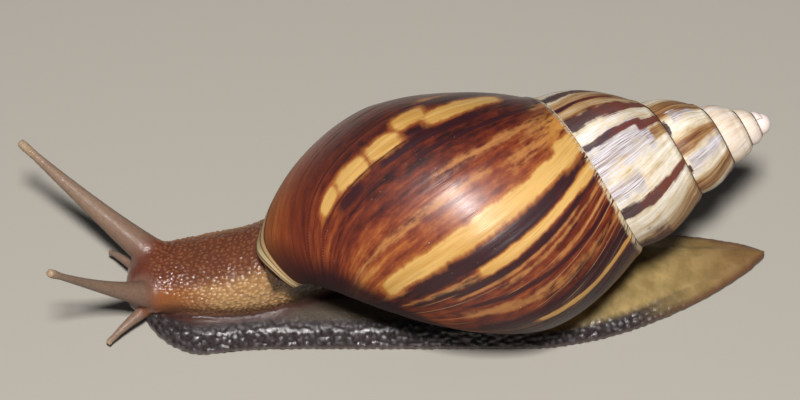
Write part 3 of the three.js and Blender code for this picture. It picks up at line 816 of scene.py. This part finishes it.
def foot_ring(x):
    width = float(foot_width(x))
    crease = min(float(foot_crease(x)), width)
    crease_width = width - min(3.3, width * 0.45)
    top = max(float(foot_top(x)), crease + 0.2)
    skirt = [
        (width - min(0.9, width * 0.4), 0),
        (width - min(0.15, width * 0.1), SOLE_EDGE_HEIGHT * 0.4),
        (width, SOLE_EDGE_HEIGHT),
        (width * 0.62 + crease_width * 0.38, (SOLE_EDGE_HEIGHT + crease) * 0.52),
        (crease_width, crease),
    ]
    dome = [
        (crease_width * v, crease + (top - crease) * math.sqrt(1 - v * v)) for v in (0.75, 0.5, 0.25)
    ]
    right = skirt + dome
    left = [(-y, z) for y, z in reversed(right)]
    return [(x, float(foot_centre(x)) + y, z) for y, z in right + [(0, top)] + left]


def column_line(x):
    """Middle, half width and half height of the head, neck and trunk at x."""
    into = smooth(-24, 2, x)
    nose = np.clip((x - HEAD_FRONT) / NOSE_ROUNDING, 0, 1)
    rear = np.clip((COLUMN_REAR - x) / TRUNK_ROUNDING, 0, 1)
    rounding = (1 - (1 - nose) ** 2.2) ** 0.455 * np.sqrt(1 - (1 - rear) ** 2) + 0.02
    neck_width = HEAD_HALF_WIDTH + (NECK_HALF_WIDTH - HEAD_HALF_WIDTH) * smooth(-36, -26, x)
    half_width = (neck_width + (TRUNK_HALF_WIDTH - NECK_HALF_WIDTH) * into) * rounding
    top = HEAD_TOP + (NECK_TOP - HEAD_TOP) * smooth(-37, -12, x) + (TRUNK_TOP - NECK_TOP) * into
    half_height = (top - COLUMN_BOTTOM) / 2 * rounding
    height = (top + COLUMN_BOTTOM) / 2 - (1 - rounding) * 1.2
    return HEAD_SHIFT + TRUNK_SHIFT * into, height, half_width, half_height


def column_ring(x):
    centre, height, half_width, half_height = (float(v) for v in column_line(x))
    ring = []
    for k in range(40):
        across, up = math.cos(math.tau * k / 40), math.sin(math.tau * k / 40)
        ring.append((
            x,
            centre + half_width * math.copysign(abs(across) ** OVAL_POWER, across),
            height + half_height * math.copysign(abs(up) ** OVAL_POWER, up),
        ))
    return ring


def feeler_line(route, count):
    """Points and radii down a feeler: a smooth curve through its root, bend and tip."""
    root, bend, tip = (np.array(p) for p in route[:3])
    spans = np.sqrt([np.linalg.norm(bend - root), np.linalg.norm(tip - bend)])
    knots = np.concatenate([[0], np.cumsum(spans)]) / spans.sum()
    u = np.linspace(0, 1, count)
    middle = knots[1]
    weights = [
        (u - middle) * (u - 1) / middle,
        u * (u - 1) / (middle * (middle - 1)),
        u * (u - middle) / (1 - middle),
    ]
    points = sum(np.outer(w, p) for w, p in zip(weights, (root, bend, tip)))
    radii = route[4] + (route[3] - route[4]) * (1 - u) ** route[5]
    return points, radii


def feeler_rings(route, count, knob):
    points, radii = feeler_line(route, count)
    along = np.gradient(points, axis=0)
    along /= np.linalg.norm(along, axis=1)[:, None]
    left = np.linspace(1, 0, count)
    radii = radii + knob * np.exp(-((left - 0.025) / 0.035) ** 2)
    rings = []
    for point, direction, radius in zip(points, along, radii):
        across = np.cross((0, 0, 1), direction)
        across /= np.linalg.norm(across)
        over = np.cross(direction, across)
        turns = [math.tau * k / 20 for k in range(20)]
        rings.append([point + radius * (across * math.cos(a) + over * math.sin(a)) for a in turns])
    return rings


def lofted(rings):
    """Points and faces of a closed skin over rings of points."""
    around = len(rings[0])
    points = [tuple(p) for ring in rings for p in ring]
    faces = [
        (i * around + j, i * around + (j + 1) % around, (i + 1) * around + (j + 1) % around,
         (i + 1) * around + j)
        for i in range(len(rings) - 1) for j in range(around)
    ]
    last_ring = (len(rings) - 1) * around
    faces.append(tuple(reversed(range(around))))
    faces.append(tuple(range(last_ring, last_ring + around)))
    return points, faces


def mantle_parts():
    """The mantle: the roll of flesh that fills the shell's mouth, from just behind the lip."""
    turns = np.linspace(-MOUTH_TURNS, -0.004, 8)[:, None]
    share = (0.07 + 0.88 * np.sin(np.linspace(0, 1, 24) * math.pi / 2))[None, :]
    t = turns - lip_lag(share) * (turns + 1)
    depth = suture_depth(SPIRAL, t) + (base_depth(SPIRAL, t) - suture_depth(SPIRAL, t)) * share
    before = open_radius(SPIRAL, t - 1, np.minimum(depth, base_depth(SPIRAL, t - 1)))
    floor = np.maximum(before, 1.2) + 0.1
    roof = np.maximum(open_radius(SPIRAL, t, depth) - LIP_WALL - 0.05, floor + 0.6)
    outer = np.stack(on_shell(t, roof, depth), axis=-1) / MM
    inner = np.stack(on_shell(t, floor, depth), axis=-1) / MM
    rings = [list(outer[i]) + list(inner[i][::-1]) for i in range(len(turns))]
    return lofted(rings)


def ball(centre, radii, rings=12, around=24):
    """A closed ellipsoid about a centre."""
    loops = []
    for i in range(rings + 1):
        polar = math.pi * (i + 0.02) / (rings + 0.04)
        loops.append([
            (
                centre[0] - radii[0] * math.cos(polar),
                centre[1] + radii[1] * math.sin(polar) * math.cos(math.tau * j / around),
                centre[2] + radii[2] * math.sin(polar) * math.sin(math.tau * j / around),
            )
            for j in range(around)
        ])
    return lofted(loops)


def mesh_of(name, points, faces):
    """A mesh from points in millimetres, with its faces turned outwards."""
    mesh = bpy.data.meshes.new(name)
    mesh.from_pydata([tuple(np.array(p) * MM) for p in points], [], faces)
    shape = bmesh.new()
    shape.from_mesh(mesh)
    bmesh.ops.recalc_face_normals(shape, faces=shape.faces)
    shape.to_mesh(mesh)
    shape.free()
    return mesh


def raw_flesh():
    """The lofts of the flesh in one mesh, still overlapping each other."""
    foot_places = np.concatenate([
        FOOT_FRONT + FRONT_ROUNDING * (1 - np.cos(np.linspace(0, math.pi / 2, 16))),
        np.linspace(FOOT_FRONT + FRONT_ROUNDING, TAIL_START, 30)[1:],
        TAIL_START + (TAIL_TIP - TAIL_START) * np.sin(np.linspace(0, math.pi / 2, 34))[1:],
    ])
    nose_end = HEAD_FRONT + NOSE_ROUNDING
    column_places = np.concatenate([
        HEAD_FRONT + NOSE_ROUNDING * (1 - np.cos(np.linspace(0, math.pi / 2, 14))),
        nose_end + (COLUMN_REAR - nose_end) * np.sin(np.linspace(0, math.pi / 2, 36))[1:],
    ])
    parts = [
        lofted([foot_ring(x) for x in foot_places]),
        lofted([column_ring(x) for x in column_places]),
        mantle_parts(),
    ]
    for side in (-1, 1):
        parts.append(ball((HEAD_FRONT + 2.0, HEAD_SHIFT + side * 2.1, 3.4), (1.8, 2.0, 1.7)))
    for route in UPPER_FEELERS.values():
        parts.append(lofted(feeler_rings(route, 60, 0.16)))
    for route in LOWER_FEELERS.values():
        parts.append(lofted(feeler_rings(route, 24, 0.12)))
    points, faces = [], []
    for part_points, part_faces in parts:
        faces += [tuple(i + len(points) for i in face) for face in part_faces]
        points += part_points
    return mesh_of("flesh.raw", points, faces)


def nearest_feeler(points):
    """For each point, how near it lies to a feeler, in the feeler's radii, and how far out."""
    best = np.full(len(points), 1e9)
    out = np.zeros(len(points))
    for route in (*UPPER_FEELERS.values(), *LOWER_FEELERS.values()):
        line, radii = feeler_line(route, 80)
        for k, (place, radius) in enumerate(zip(line, radii)):
            near = np.linalg.norm(points - place, axis=1) / radius
            closer = near < best
            best[closer] = near[closer]
            out[closer] = k / 79
    return best, out


def mesh_points(mesh):
    points = np.empty(len(mesh.vertices) * 3, dtype=np.float32)
    mesh.vertices.foreach_get("co", points)
    return points.reshape(-1, 3).astype(float) / MM


def refine_neck(mesh):
    """Splits the faces of the head and neck in four, for their finer tubercles."""
    shape = bmesh.new()
    shape.from_mesh(mesh)
    edges = set()
    for face in shape.faces:
        x, y, z = (c / MM for c in face.calc_center_median())
        if -38 < x < -15.5 and z > foot_crease(x):
            edges.update(face.edges)
    ordered = sorted(edges, key=lambda edge: edge.index)
    bmesh.ops.subdivide_edges(shape, edges=ordered, cuts=1, use_grid_fill=True)
    shape.to_mesh(mesh)
    shape.free()


def fused_flesh():
    """The lofts fused by a fine remesh, and softened most where the feelers leave the head."""
    piece = linked("flesh", raw_flesh())
    remesh = piece.modifiers.new("Fuse", "REMESH")
    remesh.mode = "VOXEL"
    remesh.voxel_size = SKIN_GRAIN * MM
    piece.data = evaluated(piece, "flesh.fused")
    piece.modifiers.clear()
    points = mesh_points(piece.data)
    near, out = nearest_feeler(points)
    x, y, z = points.T
    soft = piece.vertex_groups.new(name="soft")
    roots = smooth(0.30, 0.12, out) * smooth(3.2, 1.4, near) * (x < -28)
    fold = np.exp(-((z - foot_crease(x)) / 1.2) ** 2) * (x < 20)
    weights = np.clip(0.25 + roots + 0.4 * fold, 0, 1) * smooth(0.2, 1.0, z)
    for level in range(1, 11):
        chosen = np.flatnonzero(np.round(weights * 10) == level)
        soft.add(chosen.tolist(), level / 10, "REPLACE")
    relax = piece.modifiers.new("Soften", "SMOOTH")
    relax.factor = 0.5
    relax.iterations = 12
    relax.vertex_group = "soft"
    plain = piece.vertex_groups.new(name="plain")
    hidden = (x > -8) & (z > foot_top(x) + 1.0)
    sole = (z < 0.12) & (np.abs(y - foot_centre(x)) < foot_width(x) - 1.8)
    plain.add(np.flatnonzero(hidden | sole).tolist(), 1.0, "REPLACE")
    thin = piece.modifiers.new("Thin out", "DECIMATE")
    thin.ratio = 0.47
    thin.vertex_group = "plain"
    piece.data = evaluated(piece, "flesh.soft")
    piece.modifiers.clear()
    piece.vertex_groups.clear()
    refine_neck(piece.data)
    return piece


def mark_zones(mesh):
    """Marks which part of the body each point is on, and its place in the rows of tubercles."""
    points = mesh_points(mesh)
    x, y, z = points.T
    centre, height, half_width, half_height = column_line(x)
    upward = (z - height) / np.maximum(half_height, 0.5)
    sideways = (y - centre) / np.maximum(half_width, 0.5)
    angle = np.arctan2(upward, sideways)
    inside = np.hypot(upward, sideways)
    near, out = nearest_feeler(points)
    feeler = smooth(1.9, 1.25, near) * smooth(0.10, 0.30, out)
    crease = foot_crease(x)
    over_foot = z - foot_top(x)
    outside = smooth(1.10, 1.25, inside) * smooth(3.0, 1.5, over_foot) * (x > -35)
    foot = np.maximum(smooth(crease + 0.5, crease - 0.5, z), outside)
    foot = np.where(x > 17, 1.0, foot) * (1 - feeler)
    rise = z + 0.65 * np.maximum(foot_width(x) - np.abs(y - foot_centre(x)), 0)
    round_way = np.where(angle < -math.pi / 2, angle + math.tau, angle) * 7.0
    fold = np.exp(-((inside - 1.12) / 0.07) ** 2) * smooth(2.0, 1.0, over_foot)
    zones = {
        "foot": foot,
        "feeler": feeler,
        "out": out,
        "rise": rise,
        "top": smooth(0.25, 0.95, np.sin(angle)),
        "row_along": x + round_way * 0.18,
        "row_across": round_way,
        "crease": fold * smooth(-38, -33, x) * smooth(0, -8, x) * (1 - feeler),
        "mantle": smooth(1.12, 1.6, inside) * smooth(2.0, 3.2, over_foot) * smooth(-23, -17, x),
        "bumpy": np.where(y < foot_centre(x), smooth(46, 33, x), smooth(24, 12, x)),
        "edge": smooth(1.5, 0.6, rise),
        "tail": smooth(10, 24, x),
        "tail_end": smooth(38, 54, x),
    }
    for name, values in zones.items():
        attribute = mesh.attributes.new(name, "FLOAT", "POINT")
        attribute.data.foreach_set("value", np.asarray(values, dtype=np.float32))


def tubercles(piece, material):
    """Raises the tubercles: long ones in slanting rows on the neck, round ones on the foot's
    sides with upright grooves between them, and a fine grain elsewhere."""
    growth = Growth("Tubercles", {
        "Neck rows": 0.64, "Neck length": 0.77, "Neck height": 0.18,
        "Foot size": 1.1, "Foot height": 0.22,
    }, on_mesh=True)
    tree = growth.tree
    size = growth.size

    def read(label):
        node = tree.nodes.new("GeometryNodeInputNamedAttribute")
        node.data_type = "FLOAT"
        node.inputs["Name"].default_value = label
        return Term(tree, node.outputs["Attribute"])

    def cells(along, across, jitter):
        node = tree.nodes.new("ShaderNodeTexVoronoi")
        node.voronoi_dimensions = "2D"
        node.feature = "F1"
        tree.links.new(vector(tree, along, across, 0.0), node.inputs["Vector"])
        node.inputs["Scale"].default_value = 1.0
        node.inputs["Randomness"].default_value = jitter
        return Term(tree, node.outputs["Distance"])

    foot, feeler, rise = read("foot"), read("feeler"), read("rise")
    position = growth.add("GeometryNodeInputPosition")
    place = growth.add("ShaderNodeSeparateXYZ", Vector=position.outputs[0])
    x, y, z = (Term(tree, place.outputs[k]) / MM for k in range(3))
    along_row = read("row_along") / size["Neck length"]
    neck_cell = cells(along_row, read("row_across") / size["Neck rows"], 0.75)
    cheek = smooth(-29.5, -33.5, x + read("top") * 5.5)
    neck_wart = smooth(0.50, 0.08, neck_cell) * (1 - foot) * (1 - feeler) * (1 - cheek)
    neck_wart = neck_wart * (1 - read("top") * 0.45)
    foot_cell = cells(x / size["Foot size"], rise / size["Foot size"], 0.85)
    side = smooth(0.6, 1.3, rise) * smooth(6.2, 4.8, rise + read("tail") * 1.6)
    foot_wart = smooth(0.50, 0.10, foot_cell) * foot * side * read("bumpy")
    fringe = worked("SINE", x * 5.2 + cloud(tree, x * 0.6, y * 0.2, 1.0, 1.0) * 5.0)
    fringe = fringe * smooth(2.2, 0.8, rise) * smooth(0.05, 0.5, z) * 0.07 * read("bumpy")
    folds = cloud(tree, x * 0.5, y * 0.5, z * 0.5, 2.0) - 0.5
    rings = worked("SINE", read("out") * 190) * feeler * 0.012
    grain = cloud(tree, x * 2.4, y * 2.4, z * 2.4, 2.0) - 0.5
    lift = neck_wart * size["Neck height"] + foot_wart * size["Foot height"] + fringe
    shelf = smooth(4.4, 5.6, rise) * foot * (1 - read("tail"))
    lift = lift + rings + folds * 0.35 * (1 - feeler) * (1 - shelf * 0.8) + grain * 0.05
    lift = lift - read("crease") * 0.15
    lift = lift * smooth(0.02, 0.4, z) * MM
    push = tree.nodes.new("ShaderNodeVectorMath")
    push.operation = "SCALE"
    tree.links.new(growth.add("GeometryNodeInputNormal").outputs[0], push.inputs[0])
    tree.links.new(lift.socket, push.inputs["Scale"])
    skin = growth.entry.outputs["Geometry"]
    skin = growth.store(skin, neck_wart=neck_wart, foot_wart=foot_wart)
    moved = growth.add("GeometryNodeSetPosition", Geometry=skin, Offset=push.outputs[0])
    growth.close(moved.outputs[0], material)
    piece.data = growth.applied(piece, "flesh")


def object_place(tree):
    """The three Object coordinates, in millimetres."""
    place = tree.nodes.new("ShaderNodeSeparateXYZ")
    tree.links.new(tree.nodes.new("ShaderNodeTexCoord").outputs["Object"], place.inputs[0])
    return [Term(tree, place.outputs[k]) / MM for k in range(3)]


def flesh_finish():
    """Wet skin: red-brown on the neck, with painted cream glints on its tubercles and painted sheen on
    its flank, painted shade in its grooves, its crease and under the shell, slate on the foot's sides
    with pearly bumps, olive on the tail, and greyish pink on the feelers."""
    material, tree, shader = new_finish("wet_flesh")

    def read(label):
        return stored(tree, label)

    x, y, z = object_place(tree)
    blot = cloud(tree, x * 0.35, y * 0.35, z * 0.35, 3.0)
    grain = cloud(tree, x * 2.2, y * 2.2, z * 2.2, 3.0, 0.6)
    speck = cloud(tree, x * 6.0, y * 6.0, z * 6.0, 2.0, 0.6)
    foot, feeler, top, rise, tail = (read(n) for n in ("foot", "feeler", "top", "rise", "tail"))
    neck_wart, foot_wart = read("neck_wart"), read("foot_wart")
    tail_end, out = read("tail_end"), read("out")

    # The neck's side turns golden towards the rear. This is partly its own colour and partly painted
    # sheen where the light falls on the flank.
    flank_with_sheen = mixed(smooth(-33, -25, x), (0.22, 0.072, 0.018), (0.36, 0.21, 0.085))
    neck = mixed(smooth(0.40, 1.0, top), flank_with_sheen, (0.088, 0.020, 0.010))
    neck = mixed(smooth(0.40, 0.7, blot) * 0.4, neck, (0.151, 0.042, 0.015))
    neck = mixed(smooth(-34, -38, x) * 0.7, neck, (0.105, 0.024, 0.013))
    neck = mixed(smooth(0.10, 0.45, neck_wart) * 0.25, neck, (0.336, 0.176, 0.071))
    # Painted shade in the grooves between the tubercles on the front of the neck.
    between = smooth(0.20, 0.0, neck_wart) * smooth(-35, -31, x)
    neck = mixed(between * 0.35, neck, (0.11, 0.042, 0.016))
    # Painted glints: small pale cream dots on the tips of the neck's tubercles.
    neck = mixed(smooth(0.72, 0.98, neck_wart) * 0.36, neck, (0.672, 0.554, 0.386))
    neck = mixed(smooth(7.6, 5.6, z) * smooth(-37, -33, x) * 0.8, neck, (0.071, 0.029, 0.018))
    # Dark olive-brown towards the trunk under the shell. This is partly its own colour and partly
    # painted shade under the shell.
    neck = mixed(smooth(-17.5, -14, x), neck, (0.038, 0.024, 0.013))
    slate = mixed(smooth(0.35, 0.65, grain), (0.015, 0.011, 0.011), (0.036, 0.028, 0.028))
    slate = mixed(smooth(0.3, 0.95, foot_wart) * 0.45, slate, (0.105, 0.095, 0.105))
    slate = mixed(read("edge") * 0.5, slate, (0.15, 0.10, 0.09))
    ledge = mixed(smooth(-20, -12, x), (0.042, 0.018, 0.014), (0.044, 0.031, 0.019))
    slate = mixed(smooth(5.2, 6.4, rise), slate, ledge)
    olive = mixed(smooth(0.35, 0.65, blot), (0.197, 0.139, 0.052), (0.302, 0.214, 0.088))
    olive = mixed(tail_end * 0.75, olive, (0.134, 0.063, 0.025))
    olive = mixed(smooth(2.6, 1.2, rise) * 0.8, olive, (0.088, 0.038, 0.022))
    bare = smooth(3.0, 4.6, rise + tail_end * 3) * tail
    slate = mixed(most(bare, 1 - read("bumpy")), slate, olive)
    body = mixed(foot, neck, slate)
    # The mantle under the lip is dark brown. This is partly its own colour and partly painted shade
    # under the shell's lip.
    body = mixed(read("mantle"), body, (0.040, 0.020, 0.012))
    # Painted shade: a thin dark line along the crease between the neck and the foot.
    body = mixed(read("crease") * 0.85, body, (0.030, 0.008, 0.008))
    horn = mixed(smooth(0.0, 0.75, out), (0.155, 0.084, 0.059), (0.206, 0.139, 0.097))
    horn = mixed(smooth(0.86, 1.0, out) * 0.7, horn, (0.353, 0.26, 0.16))
    horn = mixed(smooth(0.40, 0.65, grain) * 0.35, horn, (0.109, 0.067, 0.05))
    body = mixed(feeler, body, horn)
    body = mixed(smooth(0.2, 0.0, z), body, (0.202, 0.16, 0.13))
    body = mixed(smooth(0.62, 0.72, speck) * 0.25, body, (0.067, 0.034, 0.025))
    tree.links.new(body, shader.inputs["Base Color"])

    # Wet gloss, duller on the feelers, the bare top of the foot and the fold above it.
    smooth_top = smooth(4.0, 5.2, rise) * foot
    roughness = 0.38 - foot * 0.08 + (grain - 0.5) * 0.2 + feeler * 0.18
    fold = smooth(7.6, 6.4, z) * smooth(4.4, 5.2, z) * smooth(-38, -34, x)
    fold = fold * (1 - tail) * (1 - feeler)
    roughness = roughness + most(smooth_top * (1 - tail), fold) * 0.5
    tree.links.new(roughness.socket, shader.inputs["Roughness"])
    shader.inputs["IOR"].default_value = 1.27
    shader.inputs["Subsurface Weight"].default_value = 0.18
    shader.inputs["Subsurface Radius"].default_value = (1.0, 0.4, 0.25)
    shader.inputs["Subsurface Scale"].default_value = 0.8 * MM
    coat = (1 - fold) * (1 - feeler * 0.75) * (1 - smooth_top * 0.9) * (1 - tail * 0.6) * 0.8
    tree.links.new(coat.socket, shader.inputs["Coat Weight"])
    shader.inputs["Coat Roughness"].default_value = 0.13
    normal = bumped(shader, speck * 0.5 + grain * 0.5, 0.2 * MM, 0.5)
    tree.links.new(normal, shader.inputs["Coat Normal"])
    return material


flesh = fused_flesh()
mark_zones(flesh.data)
tubercles(flesh, flesh_finish())
shade_smoothly(flesh.data)
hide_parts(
    "mantle", "foot_front", "foot_middle", "tail_base", "tail_tip", "head", "neck", "trunk",
    "upper_feeler_left", "upper_feeler_right", "lower_feeler_left", "lower_feeler_right",
)
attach(flesh, "root")

# ---- Eyes ------------------------------------------------------------------------------------
# Each upper feeler ends in a small wet eye: a clear grey-pink bulb with a dark spot in it that
# looks out along the feeler. The bulb is set into the feeler's knob.


def eye_finish(name, centre, direction):
    """A clear bulb that darkens towards its pupil, which faces along the direction."""
    material, tree, shader = new_finish(name)
    place = object_place(tree)
    along = sum((place[k] - centre[k]) * (direction[k] / EYE_RADIUS) for k in range(3))
    mist = cloud(tree, place[0] * 4, place[1] * 4, 0.5)
    iris = mixed(smooth(0.25, 0.62, along), (0.34, 0.24, 0.19), (0.14, 0.08, 0.06))
    pupil = smooth(0.62, 0.80, along + (mist - 0.5) * 0.08)
    tree.links.new(mixed(pupil, iris, (0.012, 0.008, 0.008)), shader.inputs["Base Color"])
    shader.inputs["Roughness"].default_value = 0.12
    shader.inputs["Coat Weight"].default_value = 1.0
    shader.inputs["Coat Roughness"].default_value = 0.03
    return material


for side, route in UPPER_FEELERS.items():
    line, _ = feeler_line(route, 60)
    direction = line[-1] - line[-2]
    direction /= np.linalg.norm(direction)
    centre = line[-1] - direction * EYE_RADIUS
    points, faces = ball(centre, (EYE_RADIUS,) * 3, 24, 40)
    mesh = mesh_of("eyeball_" + side, points, faces)
    shade_smoothly(mesh)
    mesh.materials.append(eye_finish("eye_" + side + "_wet", centre, direction))
    eyeball = linked("eyeball_" + side, mesh)
    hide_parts("eye_" + side)
    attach(eyeball, "root")

# ---- Floor, light and camera -----------------------------------------------------------------
# A plain pale floor, a soft main light high behind the camera, a weak fill, and a camera that
# looks down on the snail's left side.

FLOOR_SIZE = 3.0
CAMERA_HEIGHT_ANGLE = 50
CAMERA_DISTANCE = 0.42
CAMERA_TARGET = Vector((0.0, 0.0078, 0.012))
LENS = 128.5


def lit_area(name, place, target, size, power, colour):
    lamp = bpy.data.lights.new(name, "AREA")
    lamp.size = size
    lamp.energy = power
    lamp.color = colour
    light = linked(name, lamp)
    light.location = place
    light.rotation_euler = (target - place).to_track_quat("-Z", "Y").to_euler()


half = FLOOR_SIZE / 2
corners = [(-half, -half, 0), (half, -half, 0), (half, half, 0), (-half, half, 0)]
floor_mesh = bpy.data.meshes.new("floor")
floor_mesh.from_pydata(corners, [], [(0, 1, 2, 3)])
floor_finish, _, floor_shader = new_finish("pale_floor")
floor_shader.inputs["Base Color"].default_value = (0.31, 0.29, 0.255, 1)
floor_shader.inputs["Roughness"].default_value = 0.8
floor_mesh.materials.append(floor_finish)
floor = linked("floor", floor_mesh)

main_place = Vector((0.0, -0.30, 0.58))
lit_area("main_light", main_place, CAMERA_TARGET, 0.075, 7.2, (1.0, 0.98, 0.96))
lit_area("fill_light", Vector((-0.5, 0.3, 0.6)), CAMERA_TARGET, 0.6, 0.25, (0.92, 0.95, 1.0))
bpy.context.scene.view_settings.view_transform = "Standard"
world = bpy.data.worlds.new("studio")
world.use_nodes = True
backdrop = world.node_tree.nodes["Background"]
backdrop.inputs["Color"].default_value = (0.9, 0.93, 1.0, 1)
backdrop.inputs["Strength"].default_value = 0.035
bpy.context.scene.world = world

tilt = math.radians(CAMERA_HEIGHT_ANGLE)
lens = bpy.data.cameras.new("camera")
lens.lens = LENS
lens.clip_start = 0.01
camera = linked("camera", lens)
camera.location = CAMERA_TARGET + CAMERA_DISTANCE * Vector((0, -math.cos(tilt), math.sin(tilt)))
camera.rotation_euler = (CAMERA_TARGET - camera.location).to_track_quat("-Z", "Y").to_euler()
bpy.context.scene.camera = camera
